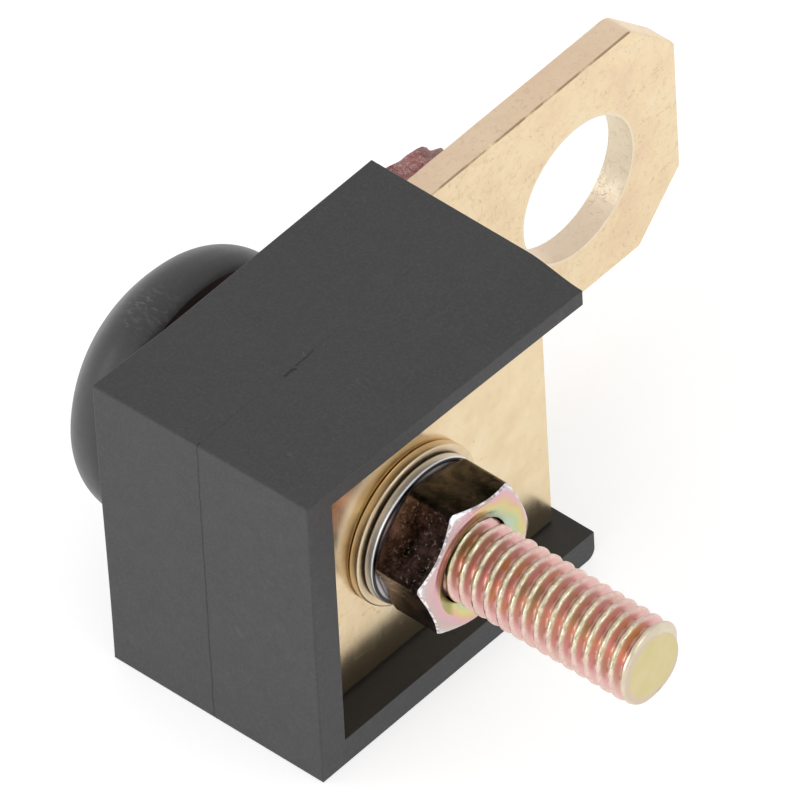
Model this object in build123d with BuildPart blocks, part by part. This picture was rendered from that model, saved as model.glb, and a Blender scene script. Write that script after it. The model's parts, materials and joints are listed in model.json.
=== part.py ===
from build123d import *
import os
from math import atan2, cos, degrees, radians, sin, sqrt

# Screw-type battery cut-off switch. Millimetres, +Z up, +X along the battery blade.
# The terminal stud points to -Y and the knob stands at +Y, on one common axis.
# The origin is the centre of the whole object's box, at the face that it rests on.
# A depth is measured forward (-Y) from the back face of the housing.

# ---------------------------------------------------------------- driving dimensions
HOUSING_LENGTH = 35.5
HOUSING_DEPTH = 24.0
HOUSING_HEIGHT = 33.0
SIDE_WALL = 3.1
TOP_WALL = 1.8
FLOOR_WALL = 2.9
CORNER_ROUND = 1.0
EDGE_ROUND = 0.2

AXIS_FROM_SIDE = 16.1
AXIS_Z = 17.1

BLADE_REACH = 68.6
BLADE_WIDTH = 26.1
BLADE_THICKNESS = 2.8
BLADE_CENTRE_Z = 18.0
BLADE_HOLE_R = 7.15
BLADE_HOLE_FROM_SIDE = 55.4
BLADE_HOLE_Z = 17.6
BLADE_CHAMFER = 5.7
EDGE_BREAK = 0.2

FIBRE_BACK_DEPTH = 0.2
FIBRE_THICKNESS = 2.5
FIBRE_REACH = 44.2

PLATE_FRONT_DEPTH = 20.45
PLATE_THICKNESS = 2.8
PLATE_FROM_END = 1.3
SEAT_GAP = 0.1

STUD_R = 3.97
STUD_TIP_DEPTH = 48.2
STUD_TIP_R = 3.25
STUD_SEAT_R = 3.8
STUD_HEAD_HEIGHT = 3.6
NUT_ACROSS_FLATS = 12.7
NUT_HEIGHT = 5.9
NUT_BORE_R = 4.02
NUT_COUNTERSINK = 0.35
NUT_CORNER_ANGLE = 49.0
FLAT_WASHER_THICKNESS = 1.0
FLAT_WASHER_R = 7.8
FLAT_WASHER_BORE_R = 4.35
SPRING_WASHER_THICKNESS = 1.1
SPRING_WASHER_R = 7.1
SPRING_WASHER_BORE_R = 4.2
SPRING_WASHER_SPLIT = 0.8
SPRING_SPLIT_LEAN = 35.0

KNOB_R = 12.8
KNOB_RIM_BEHIND = 3.4
KNOB_TIP_BEHIND = 12.8
KNOB_RIM_ROUND = 1.6
KNOB_SHOULDER_R = 4.9
KNOB_SHELL = 2.2
KNOB_HUB_R = 9.2
KNOB_HUB_BEHIND = 2.4
KNOB_HOLLOW_BEHIND = 6.6

SCREW_R = 25.4 * 3 / 16
SCREW_PITCH = 25.4 / 16
SCREW_TURNS = 2.25
SCREW_HEAD_ACROSS_FLATS = 14.3
SCREW_HEAD_HEIGHT = 5.2
RUNNING_GAP = 0.05
FACE_GAP = 0.05

BUSH_R = 6.6
BUSH_FLANGE_R = 7.2
BUSH_FLANGE_BEHIND = 0.6
PRESS_GAP = 0.02
SEAL_R = 7.4

CAVITY_R = 7.6
FIXED_CONTACT_R = 4.5
FIXED_CONTACT_PROUD = 0.7
FIXED_CONTACT_SUNK = 0.6
FOOT_R = 4.4
FOOT_THICKNESS = 1.6
FOOT_LIP = 0.5
FOOT_FLOOR = 0.45
SPIGOT_NECK_R = 1.9
SPIGOT_HEAD_R = 2.8
SWIVEL_GAP = 0.08
CLIP_R = 6.9
CLIP_THICKNESS = 0.9
CLIP_GROOVE_R = 3.9
CLIP_MOUTH = 6.4
CLIP_STOP_GAP = 0.15

BLADE_SCREW_R = 1.45
BLADE_SCREW_HEAD_R = 2.8
BLADE_SCREW_HEAD_HEIGHT = 1.5
BLADE_SCREW_GRIP = 4.8
BLADE_SCREW_FROM_END = 4.0
BLADE_SCREW_SPREAD = 7.5
BLADE_SCREW_FROM_SIDE = 6.0
PLATE_SCREW_R = 1.5
PLATE_SCREW_HEAD_R = 2.9
PLATE_SCREW_HEAD_HEIGHT = 1.8
PLATE_SCREW_BITE = 2.0
PLATE_SCREW_WELL_DEPTH = 6.0
PLATE_SCREW_WELL_R = 3.2
PLATE_SCREW_ACROSS = 8.0
PLATE_SCREW_UP = 9.5
CROSS_WIDTH = 0.7
CROSS_LENGTH = 3.0
CROSS_DEPTH = 0.9

# ---------------------------------------------------------------- places worked out
CENTRE_DEPTH = (STUD_TIP_DEPTH - KNOB_TIP_BEHIND) / 2
SIDE_X = -BLADE_REACH / 2
END_X = SIDE_X + HOUSING_LENGTH
AXIS_X = SIDE_X + AXIS_FROM_SIDE
HOLE_X = SIDE_X + BLADE_HOLE_FROM_SIDE
INNER_X = SIDE_X + SIDE_WALL

FIBRE_FRONT_DEPTH = FIBRE_BACK_DEPTH + FIBRE_THICKNESS
WEB_BACK_DEPTH = FIBRE_FRONT_DEPTH + BLADE_THICKNESS
WEB_FRONT_DEPTH = PLATE_FRONT_DEPTH - PLATE_THICKNESS
STUD_HEAD_DEPTH = WEB_FRONT_DEPTH - STUD_HEAD_HEIGHT
FIXED_CONTACT_DEPTH = STUD_HEAD_DEPTH - FIXED_CONTACT_PROUD
FOOT_FRONT_DEPTH = FIXED_CONTACT_DEPTH - FACE_GAP
FOOT_BACK_DEPTH = FOOT_FRONT_DEPTH - FOOT_THICKNESS
SCREW_END_DEPTH = FOOT_BACK_DEPTH - FACE_GAP
SCREW_TRAVEL = SCREW_TURNS * SCREW_PITCH
CLIP_BACK_DEPTH = WEB_BACK_DEPTH + SCREW_TRAVEL + CLIP_STOP_GAP

KNOB_WIDEST_BEHIND = KNOB_RIM_BEHIND + KNOB_RIM_ROUND
WASHER_DEPTH = PLATE_FRONT_DEPTH + FACE_GAP
SPRING_DEPTH = WASHER_DEPTH + FLAT_WASHER_THICKNESS
NUT_DEPTH = SPRING_DEPTH + SPRING_WASHER_THICKNESS + FACE_GAP
NUT_FRONT_DEPTH = NUT_DEPTH + NUT_HEIGHT

BLADE_SCREW_END_X = END_X - BLADE_SCREW_FROM_END
BLADE_SCREW_SPOTS = [
    (BLADE_SCREW_END_X, AXIS_Z - BLADE_SCREW_SPREAD),
    (BLADE_SCREW_END_X, AXIS_Z + BLADE_SCREW_SPREAD),
    (SIDE_X + BLADE_SCREW_FROM_SIDE, AXIS_Z),
]
PLATE_SCREW_SPOTS = [
    (AXIS_X + across * PLATE_SCREW_ACROSS, AXIS_Z + up * PLATE_SCREW_UP)
    for across in (-1, 1)
    for up in (-1, 1)
]

os.makedirs("parts", exist_ok=True)


def at_depth(depth):
    """Upright plane at a depth, facing the front: its x is +X and its y is +Z."""
    return Plane.XZ.offset(depth - CENTRE_DEPTH)


def on_axis(depth):
    """The same plane, with its origin on the common axis of the stud and the knob."""
    return Plane(origin=(AXIS_X, CENTRE_DEPTH - depth, AXIS_Z), x_dir=(1, 0, 0), z_dir=(0, -1, 0))


# Level plane through the common axis: x is the radius, and y is how far behind the back face.
AXIAL = Plane(origin=(AXIS_X, CENTRE_DEPTH, AXIS_Z))
AXIS_LINE = Axis((AXIS_X, CENTRE_DEPTH, AXIS_Z), (0, 1, 0))


def between(low, high):
    """Centre and size of a stretch."""
    return (low + high) / 2, high - low


def save(name, builder):
    builder.part.label = name
    export_step(builder.part, f"parts/{name}.step")


# ---------------------------------------------------------------- housing
# One black moulding: a floor, a roof and one side wall around a thick insulating web.
# It is open at the front and at its +X end, and has a shallow recess in the back.
with BuildPart() as housing:
    with BuildSketch(at_depth(0)):
        with Locations(((SIDE_X + END_X) / 2, HOUSING_HEIGHT / 2)):
            Rectangle(HOUSING_LENGTH, HOUSING_HEIGHT)
    extrude(amount=HOUSING_DEPTH)
    low_end = housing.edges().filter_by(Axis.Y).group_by(Axis.X)[-1].sort_by(Axis.Z)[0]
    fillet(low_end, CORNER_ROUND)
    fillet(housing.edges().group_by(Axis.X)[0] + housing.edges().group_by(Axis.Z)[-1], EDGE_ROUND)

    front_z, front_height = between(FLOOR_WALL, HOUSING_HEIGHT - TOP_WALL)
    with BuildSketch(at_depth(WEB_FRONT_DEPTH)):
        with Locations((INNER_X + HOUSING_LENGTH / 2, front_z)):
            Rectangle(HOUSING_LENGTH, front_height)
    extrude(amount=HOUSING_DEPTH, mode=Mode.SUBTRACT)

    with BuildSketch(at_depth(WEB_BACK_DEPTH)):
        with Locations((INNER_X + HOUSING_LENGTH / 2, BLADE_CENTRE_Z)):
            Rectangle(HOUSING_LENGTH, BLADE_WIDTH + 2 * SEAT_GAP)
    extrude(amount=-HOUSING_DEPTH, mode=Mode.SUBTRACT)

    # round chamber for the moving contact, then the hexagonal pocket that holds the stud's head
    with BuildSketch(on_axis(WEB_BACK_DEPTH)):
        Circle(CAVITY_R)
    extrude(amount=STUD_HEAD_DEPTH - WEB_BACK_DEPTH, mode=Mode.SUBTRACT)
    with BuildSketch(on_axis(STUD_HEAD_DEPTH)):
        RegularPolygon(
            NUT_ACROSS_FLATS / 2 + SEAT_GAP,
            6,
            major_radius=False,
            rotation=NUT_CORNER_ANGLE,
        )
    extrude(amount=STUD_HEAD_HEIGHT, mode=Mode.SUBTRACT)

    with BuildSketch(at_depth(WEB_BACK_DEPTH)):
        with Locations(*BLADE_SCREW_SPOTS):
            Circle(BLADE_SCREW_R)
    extrude(amount=BLADE_SCREW_GRIP, mode=Mode.SUBTRACT)
    with BuildSketch(at_depth(WEB_BACK_DEPTH)):
        with Locations(*PLATE_SCREW_SPOTS):
            Circle(PLATE_SCREW_WELL_R)
    extrude(amount=PLATE_SCREW_WELL_DEPTH, mode=Mode.SUBTRACT)
    with BuildSketch(at_depth(WEB_BACK_DEPTH)):
        with Locations(*PLATE_SCREW_SPOTS):
            Circle(PLATE_SCREW_R)
    extrude(amount=WEB_FRONT_DEPTH - WEB_BACK_DEPTH, mode=Mode.SUBTRACT)
save("housing", housing)


# ---------------------------------------------------------------- front contact plate
# Brass plate that lies in the front recess and carries the cable stud.
with BuildPart() as contact_plate:
    plate_x, plate_length = between(INNER_X + SEAT_GAP, END_X - PLATE_FROM_END)
    with BuildSketch(at_depth(WEB_FRONT_DEPTH)):
        with Locations((plate_x, front_z)):
            Rectangle(plate_length, front_height - 2 * SEAT_GAP)
    extrude(amount=PLATE_THICKNESS)
    chamfer(contact_plate.faces().sort_by(Axis.Y)[0].edges(), EDGE_BREAK)
    with BuildSketch(on_axis(WEB_FRONT_DEPTH)):
        Circle(STUD_SEAT_R)
    extrude(amount=PLATE_THICKNESS, mode=Mode.SUBTRACT)
    with BuildSketch(at_depth(WEB_FRONT_DEPTH)):
        with Locations(*PLATE_SCREW_SPOTS):
            Circle(PLATE_SCREW_R)
    extrude(amount=PLATE_SCREW_BITE, mode=Mode.SUBTRACT)
save("contact_plate", contact_plate)


# ---------------------------------------------------------------- battery blade
# Brass blade in the back recess. It runs out past the open end to a large clamping hole.
with BuildPart() as battery_blade:
    blade_x, blade_length = between(INNER_X + SEAT_GAP, SIDE_X + BLADE_REACH)
    with BuildSketch(at_depth(FIBRE_FRONT_DEPTH)):
        with Locations((blade_x, BLADE_CENTRE_Z)):
            Rectangle(blade_length, BLADE_WIDTH)
    extrude(amount=BLADE_THICKNESS)
    chamfer(battery_blade.edges().filter_by(Axis.Y).group_by(Axis.X)[-1], BLADE_CHAMFER)
    chamfer(battery_blade.faces().sort_by(Axis.Y)[0].edges(), EDGE_BREAK)
    with BuildSketch(at_depth(FIBRE_FRONT_DEPTH)):
        with Locations((HOLE_X, BLADE_HOLE_Z)):
            Circle(BLADE_HOLE_R)
        with Locations((AXIS_X, AXIS_Z)):
            Circle(BUSH_R + PRESS_GAP)
        with Locations(*BLADE_SCREW_SPOTS):
            Circle(BLADE_SCREW_R)
    extrude(amount=BLADE_THICKNESS, mode=Mode.SUBTRACT)
save("battery_blade", battery_blade)


# ---------------------------------------------------------------- fibre insulator
# Vulcanised fibre sheet behind the blade, torn off roughly past the open end.
with BuildPart() as fibre_insulator:
    fibre_x, fibre_length = between(INNER_X + SEAT_GAP, SIDE_X + FIBRE_REACH)
    with BuildSketch(at_depth(FIBRE_BACK_DEPTH)):
        with Locations((fibre_x, BLADE_CENTRE_Z)):
            Rectangle(fibre_length, BLADE_WIDTH)
        with Locations((AXIS_X, AXIS_Z)):
            Circle(BUSH_FLANGE_R + SEAT_GAP, mode=Mode.SUBTRACT)
        with Locations(*BLADE_SCREW_SPOTS):
            Circle(BLADE_SCREW_R, mode=Mode.SUBTRACT)
    extrude(amount=FIBRE_THICKNESS)
    for spot_x, spot_z in BLADE_SCREW_SPOTS:
        with BuildSketch(Plane(origin=(spot_x, CENTRE_DEPTH - FIBRE_BACK_DEPTH, spot_z))):
            with BuildLine():
                Polyline(
                    (0, 0),
                    (BLADE_SCREW_HEAD_R, 0),
                    (BLADE_SCREW_R, -BLADE_SCREW_HEAD_HEIGHT),
                    (0, -BLADE_SCREW_HEAD_HEIGHT),
                    close=True,
                )
            make_face()
        revolve(
            axis=Axis((spot_x, CENTRE_DEPTH, spot_z), (0, 1, 0)),
            mode=Mode.SUBTRACT,
        )
save("fibre_insulator", fibre_insulator)


# ---------------------------------------------------------------- blade bush
# Brass bush pressed into the blade from behind. Its thread, drawn as a plain bore, drives the screw.
with BuildPart() as blade_bush:
    with BuildSketch(on_axis(-BUSH_FLANGE_BEHIND)):
        Circle(BUSH_FLANGE_R)
    extrude(amount=FIBRE_FRONT_DEPTH + BUSH_FLANGE_BEHIND)
    chamfer(blade_bush.edges().group_by(Axis.Y)[-1], EDGE_BREAK)
    with BuildSketch(on_axis(FIBRE_FRONT_DEPTH)):
        Circle(BUSH_R)
    extrude(amount=BLADE_THICKNESS)
    with BuildSketch(on_axis(-BUSH_FLANGE_BEHIND)):
        Circle(SCREW_R + RUNNING_GAP)
    extrude(amount=WEB_BACK_DEPTH + BUSH_FLANGE_BEHIND, mode=Mode.SUBTRACT)
save("blade_bush", blade_bush)


# ---------------------------------------------------------------- terminal stud
# Hex head in the web's pocket, neck through the plate, and the threaded end in front.
# The thread is drawn as a plain shank at its major radius, a little less where the nut sits.
with BuildPart() as terminal_stud:
    with BuildSketch(on_axis(STUD_HEAD_DEPTH)):
        RegularPolygon(NUT_ACROSS_FLATS / 2, 6, major_radius=False, rotation=NUT_CORNER_ANGLE)
    extrude(amount=STUD_HEAD_HEIGHT)
    with BuildSketch(on_axis(WEB_FRONT_DEPTH)):
        Circle(STUD_SEAT_R)
    extrude(amount=NUT_FRONT_DEPTH - WEB_FRONT_DEPTH)
    with BuildSketch(on_axis(NUT_FRONT_DEPTH)):
        Circle(STUD_R)
    extrude(amount=STUD_TIP_DEPTH - NUT_FRONT_DEPTH)
    chamfer(terminal_stud.edges().group_by(Axis.Y)[0], STUD_R - STUD_TIP_R)
    with BuildSketch(on_axis(STUD_HEAD_DEPTH)):
        Circle(FIXED_CONTACT_R)
    extrude(amount=FIXED_CONTACT_SUNK, mode=Mode.SUBTRACT)
save("terminal_stud", terminal_stud)


# ---------------------------------------------------------------- washers and nut
with BuildPart() as flat_washer:
    with BuildSketch(on_axis(WASHER_DEPTH)):
        Circle(FLAT_WASHER_R)
        Circle(FLAT_WASHER_BORE_R, mode=Mode.SUBTRACT)
    extrude(amount=FLAT_WASHER_THICKNESS)
    fillet(flat_washer.edges().group_by(Axis.Y)[0].sort_by(SortBy.RADIUS)[-1], EDGE_BREAK)
save("flat_washer", flat_washer)

# The spring washer is split by a leaning cut.
with BuildPart() as spring_washer:
    with BuildSketch(on_axis(SPRING_DEPTH)):
        Circle(SPRING_WASHER_R)
        Circle(SPRING_WASHER_BORE_R, mode=Mode.SUBTRACT)
    extrude(amount=SPRING_WASHER_THICKNESS)
    fillet(spring_washer.edges().group_by(Axis.Y)[0].sort_by(SortBy.RADIUS)[-1], EDGE_BREAK)
    split_depth = SPRING_DEPTH + SPRING_WASHER_THICKNESS / 2
    split_plane = Plane(
        origin=(AXIS_X, CENTRE_DEPTH - split_depth, AXIS_Z - SPRING_WASHER_R),
        x_dir=(0, 0, 1),
        z_dir=(cos(radians(SPRING_SPLIT_LEAN)), sin(radians(SPRING_SPLIT_LEAN)), 0),
    )
    with BuildSketch(split_plane):
        Rectangle(SPRING_WASHER_R, SPRING_WASHER_R)
    extrude(amount=SPRING_WASHER_SPLIT / 2, both=True, mode=Mode.SUBTRACT)
save("spring_washer", spring_washer)

# Both faces of the nut are turned down at the corners, and its bore is countersunk.
with BuildPart() as terminal_nut:
    nut_corner_r = NUT_ACROSS_FLATS / sqrt(3)
    nut_face_r = NUT_ACROSS_FLATS / 2 - EDGE_BREAK
    nut_slope = (nut_corner_r - nut_face_r) / 2
    with BuildSketch(on_axis(NUT_DEPTH)):
        RegularPolygon(NUT_ACROSS_FLATS / 2, 6, major_radius=False, rotation=NUT_CORNER_ANGLE)
    extrude(amount=NUT_HEIGHT)
    with BuildSketch(AXIAL):
        with BuildLine():
            Polyline(
                (0, -NUT_DEPTH),
                (nut_face_r, -NUT_DEPTH),
                (nut_corner_r, -NUT_DEPTH - nut_slope),
                (nut_corner_r, -NUT_FRONT_DEPTH + nut_slope),
                (nut_face_r, -NUT_FRONT_DEPTH),
                (0, -NUT_FRONT_DEPTH),
                close=True,
            )
        make_face()
    revolve(axis=AXIS_LINE, mode=Mode.INTERSECT)
    with BuildSketch(on_axis(NUT_DEPTH)):
        Circle(NUT_BORE_R)
    extrude(amount=NUT_HEIGHT, mode=Mode.SUBTRACT)
    bore_rims = terminal_nut.edges().filter_by(GeomType.CIRCLE)
    bore_rims = bore_rims.filter_by(lambda rim: rim.radius < NUT_BORE_R + EDGE_BREAK / 2)
    chamfer(bore_rims, NUT_COUNTERSINK)
save("terminal_nut", terminal_nut)


# ---------------------------------------------------------------- knob and its screw
# Domed shell with a hub; the hub's hexagonal pocket is moulded around the screw's head.
with BuildPart() as knob:
    rim_r = KNOB_R - KNOB_RIM_ROUND
    # the crown's arc meets the shoulder's arc in a tangent
    dome = KNOB_TIP_BEHIND - KNOB_WIDEST_BEHIND
    shoulder_x = KNOB_R - KNOB_SHOULDER_R
    crown_r = (KNOB_R**2 + dome**2 - 2 * KNOB_R * KNOB_SHOULDER_R) / (2 * (dome - KNOB_SHOULDER_R))
    join_angle = degrees(atan2(crown_r - dome, shoulder_x))
    with BuildSketch(AXIAL):
        with BuildLine():
            Polyline(
                (0, KNOB_TIP_BEHIND),
                (0, KNOB_HUB_BEHIND),
                (KNOB_HUB_R, KNOB_HUB_BEHIND),
                (KNOB_HUB_R, KNOB_HOLLOW_BEHIND),
                (KNOB_R - KNOB_SHELL, KNOB_HOLLOW_BEHIND),
                (KNOB_R - KNOB_SHELL, KNOB_RIM_BEHIND),
                (rim_r, KNOB_RIM_BEHIND),
            )
            CenterArc((rim_r, KNOB_WIDEST_BEHIND), KNOB_RIM_ROUND, 270, 90)
            CenterArc((shoulder_x, KNOB_WIDEST_BEHIND), KNOB_SHOULDER_R, 0, join_angle)
            CenterArc((0, KNOB_TIP_BEHIND - crown_r), crown_r, join_angle, 90 - join_angle)
        make_face()
    revolve(axis=AXIS_LINE)
    with BuildSketch(on_axis(-KNOB_HUB_BEHIND)):
        RegularPolygon(SCREW_HEAD_ACROSS_FLATS / 2, 6, major_radius=False)
    extrude(amount=-SCREW_HEAD_HEIGHT, mode=Mode.SUBTRACT)
save("knob", knob)

# The thread is drawn as a plain shank. A headed spigot on its end carries the contact foot.
with BuildPart() as knob_screw:
    with BuildSketch(on_axis(-KNOB_HUB_BEHIND - SCREW_HEAD_HEIGHT)):
        RegularPolygon(SCREW_HEAD_ACROSS_FLATS / 2, 6, major_radius=False)
    extrude(amount=SCREW_HEAD_HEIGHT)
    with BuildSketch(on_axis(-KNOB_HUB_BEHIND)):
        Circle(SCREW_R)
    extrude(amount=SCREW_END_DEPTH + KNOB_HUB_BEHIND)
    with BuildSketch(on_axis(CLIP_BACK_DEPTH)):
        Circle(SCREW_R + RUNNING_GAP)
        Circle(CLIP_GROOVE_R, mode=Mode.SUBTRACT)
    extrude(amount=CLIP_THICKNESS, mode=Mode.SUBTRACT)
    spigot_shoulder = FOOT_BACK_DEPTH + FOOT_LIP + SWIVEL_GAP
    spigot_end = FOOT_FRONT_DEPTH - FOOT_FLOOR - SWIVEL_GAP
    with BuildSketch(on_axis(SCREW_END_DEPTH)):
        Circle(SPIGOT_NECK_R)
    extrude(amount=spigot_shoulder - SCREW_END_DEPTH)
    with BuildSketch(on_axis(spigot_shoulder)):
        Circle(SPIGOT_HEAD_R)
    extrude(amount=spigot_end - spigot_shoulder)
save("knob_screw", knob_screw)

with BuildPart() as seal_washer:
    with BuildSketch(on_axis(-KNOB_HUB_BEHIND)):
        Circle(SEAL_R)
        Circle(SCREW_R, mode=Mode.SUBTRACT)
    extrude(amount=KNOB_HUB_BEHIND - BUSH_FLANGE_BEHIND - FACE_GAP)
save("seal_washer", seal_washer)

# Spring-steel clip in the screw's groove: it meets the bush and keeps the knob captive.
with BuildPart() as retaining_clip:
    with BuildSketch(on_axis(CLIP_BACK_DEPTH)):
        Circle(CLIP_R)
        Circle(CLIP_GROOVE_R, mode=Mode.SUBTRACT)
        with Locations((0, -CLIP_R)):
            Rectangle(CLIP_MOUTH, 2 * CLIP_R, mode=Mode.SUBTRACT)
    extrude(amount=CLIP_THICKNESS)
save("retaining_clip", retaining_clip)


# ---------------------------------------------------------------- contacts
# The foot swivels on the screw's spigot: it is pressed on the fixed contact without turning.
with BuildPart() as moving_contact:
    with BuildSketch(on_axis(FOOT_BACK_DEPTH)):
        Circle(FOOT_R)
    extrude(amount=FOOT_THICKNESS)
    chamfer(moving_contact.edges().group_by(Axis.Y)[0], EDGE_BREAK)
    with BuildSketch(on_axis(FOOT_BACK_DEPTH)):
        Circle(SPIGOT_NECK_R + SWIVEL_GAP)
    extrude(amount=FOOT_LIP, mode=Mode.SUBTRACT)
    with BuildSketch(on_axis(FOOT_BACK_DEPTH + FOOT_LIP)):
        Circle(SPIGOT_HEAD_R + SWIVEL_GAP)
    extrude(amount=FOOT_THICKNESS - FOOT_LIP - FOOT_FLOOR, mode=Mode.SUBTRACT)
save("moving_contact", moving_contact)

with BuildPart() as fixed_contact:
    with BuildSketch(on_axis(FIXED_CONTACT_DEPTH)):
        Circle(FIXED_CONTACT_R)
    extrude(amount=FIXED_CONTACT_PROUD + FIXED_CONTACT_SUNK)
    chamfer(fixed_contact.edges().group_by(Axis.Y)[-1], EDGE_BREAK)
save("fixed_contact", fixed_contact)


# ---------------------------------------------------------------- screws
# Countersunk screws through the fibre and the blade into the web.
with BuildPart() as blade_screws:
    with BuildSketch(at_depth(FIBRE_BACK_DEPTH)):
        with Locations(*BLADE_SCREW_SPOTS):
            Circle(BLADE_SCREW_R)
    extrude(amount=WEB_BACK_DEPTH + BLADE_SCREW_GRIP - FIBRE_BACK_DEPTH)
    for spot_x, spot_z in BLADE_SCREW_SPOTS:
        with BuildSketch(Plane(origin=(spot_x, CENTRE_DEPTH - FIBRE_BACK_DEPTH, spot_z))):
            with BuildLine():
                Polyline(
                    (0, 0),
                    (BLADE_SCREW_HEAD_R, 0),
                    (BLADE_SCREW_R, -BLADE_SCREW_HEAD_HEIGHT),
                    (0, -BLADE_SCREW_HEAD_HEIGHT),
                    close=True,
                )
            make_face()
        revolve(axis=Axis((spot_x, CENTRE_DEPTH, spot_z), (0, 1, 0)))
    with BuildSketch(at_depth(FIBRE_BACK_DEPTH)):
        with Locations(*BLADE_SCREW_SPOTS):
            Rectangle(CROSS_LENGTH, CROSS_WIDTH)
            Rectangle(CROSS_WIDTH, CROSS_LENGTH)
    extrude(amount=CROSS_DEPTH, mode=Mode.SUBTRACT)
save("blade_screws", blade_screws)

# Pan-head screws sunk in the web's wells, into blind holes in the back of the contact plate.
with BuildPart() as plate_screws:
    well_floor_depth = WEB_BACK_DEPTH + PLATE_SCREW_WELL_DEPTH
    with BuildSketch(at_depth(well_floor_depth)):
        with Locations(*PLATE_SCREW_SPOTS):
            Circle(PLATE_SCREW_R)
    extrude(amount=WEB_FRONT_DEPTH + PLATE_SCREW_BITE - well_floor_depth)
    with BuildSketch(at_depth(well_floor_depth)):
        with Locations(*PLATE_SCREW_SPOTS):
            Circle(PLATE_SCREW_HEAD_R)
    extrude(amount=-PLATE_SCREW_HEAD_HEIGHT)
    fillet(plate_screws.edges().group_by(Axis.Y)[-1], EDGE_BREAK)
    with BuildSketch(at_depth(well_floor_depth - PLATE_SCREW_HEAD_HEIGHT)):
        with Locations(*PLATE_SCREW_SPOTS):
            Rectangle(CROSS_LENGTH, CROSS_WIDTH)
            Rectangle(CROSS_WIDTH, CROSS_LENGTH)
    extrude(amount=CROSS_DEPTH, mode=Mode.SUBTRACT)
save("plate_screws", plate_screws)
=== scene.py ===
import json
import math

import bmesh
import bpy
from mathutils import Matrix, Vector, noise


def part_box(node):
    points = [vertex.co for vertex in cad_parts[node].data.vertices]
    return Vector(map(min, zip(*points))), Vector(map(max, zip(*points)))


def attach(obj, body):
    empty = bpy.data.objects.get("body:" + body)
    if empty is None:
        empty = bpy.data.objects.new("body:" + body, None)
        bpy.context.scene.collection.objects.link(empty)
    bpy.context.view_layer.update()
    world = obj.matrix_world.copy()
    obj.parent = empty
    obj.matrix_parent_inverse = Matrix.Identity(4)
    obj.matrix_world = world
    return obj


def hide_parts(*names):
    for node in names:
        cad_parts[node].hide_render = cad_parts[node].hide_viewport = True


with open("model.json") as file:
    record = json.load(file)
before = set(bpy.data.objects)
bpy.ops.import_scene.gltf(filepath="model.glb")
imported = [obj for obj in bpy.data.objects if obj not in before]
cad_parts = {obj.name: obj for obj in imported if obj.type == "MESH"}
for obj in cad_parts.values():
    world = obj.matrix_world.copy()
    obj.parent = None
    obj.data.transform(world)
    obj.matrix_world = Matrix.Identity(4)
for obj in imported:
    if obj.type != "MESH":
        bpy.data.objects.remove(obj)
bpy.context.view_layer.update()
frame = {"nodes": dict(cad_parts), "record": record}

# Everything is in metres. The stud and the knob share one axis, which runs along Y:
# the stud points to -Y (the front) and the knob stands at +Y (the back).
MM = 0.001
CAMERA_AZIMUTH = -46.48
CAMERA_ELEVATION = 44.68
CAMERA_ROLL = -3.13
CAMERA_TARGET = Vector((-1.363, 13.453, 8.473)) * MM
CAMERA_DISTANCE = 2.4
VIEW_WIDTH = 69.02 * MM
SENSOR = 36.0

THREAD_PITCH = 25.4 / 18 * MM
THREAD_CREST_R = 3.95 * MM
THREAD_ROOT_R = 3.14 * MM
NUT_CORNER_ANGLE = 49.0
ROOF_SAG = 0.9 * MM

housing_low, housing_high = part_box("housing")
washer_low, washer_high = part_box("flat_washer")
plate_low, plate_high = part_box("contact_plate")
blade_low, blade_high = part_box("battery_blade")
fibre_low, fibre_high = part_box("fibre_insulator")
nut_low, nut_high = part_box("terminal_nut")
stud_low, stud_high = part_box("terminal_stud")
knob_low, knob_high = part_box("knob")
AXIS_X = (washer_low.x + washer_high.x) / 2
AXIS_Z = (washer_low.z + washer_high.z) / 2
# The blade's hole, from the record's mount. In mm, like the materials' coordinates.
hole_mount = next(m for m in frame["record"]["mounts"] if m["name"] == "blade_hole")
HOLE_X = round(hole_mount["pos_m"][0] / MM, 3)
HOLE_Z = round(hole_mount["pos_m"][2] / MM, 3)
HOLE_R = hole_mount["dims"]["r_mm"]


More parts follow.
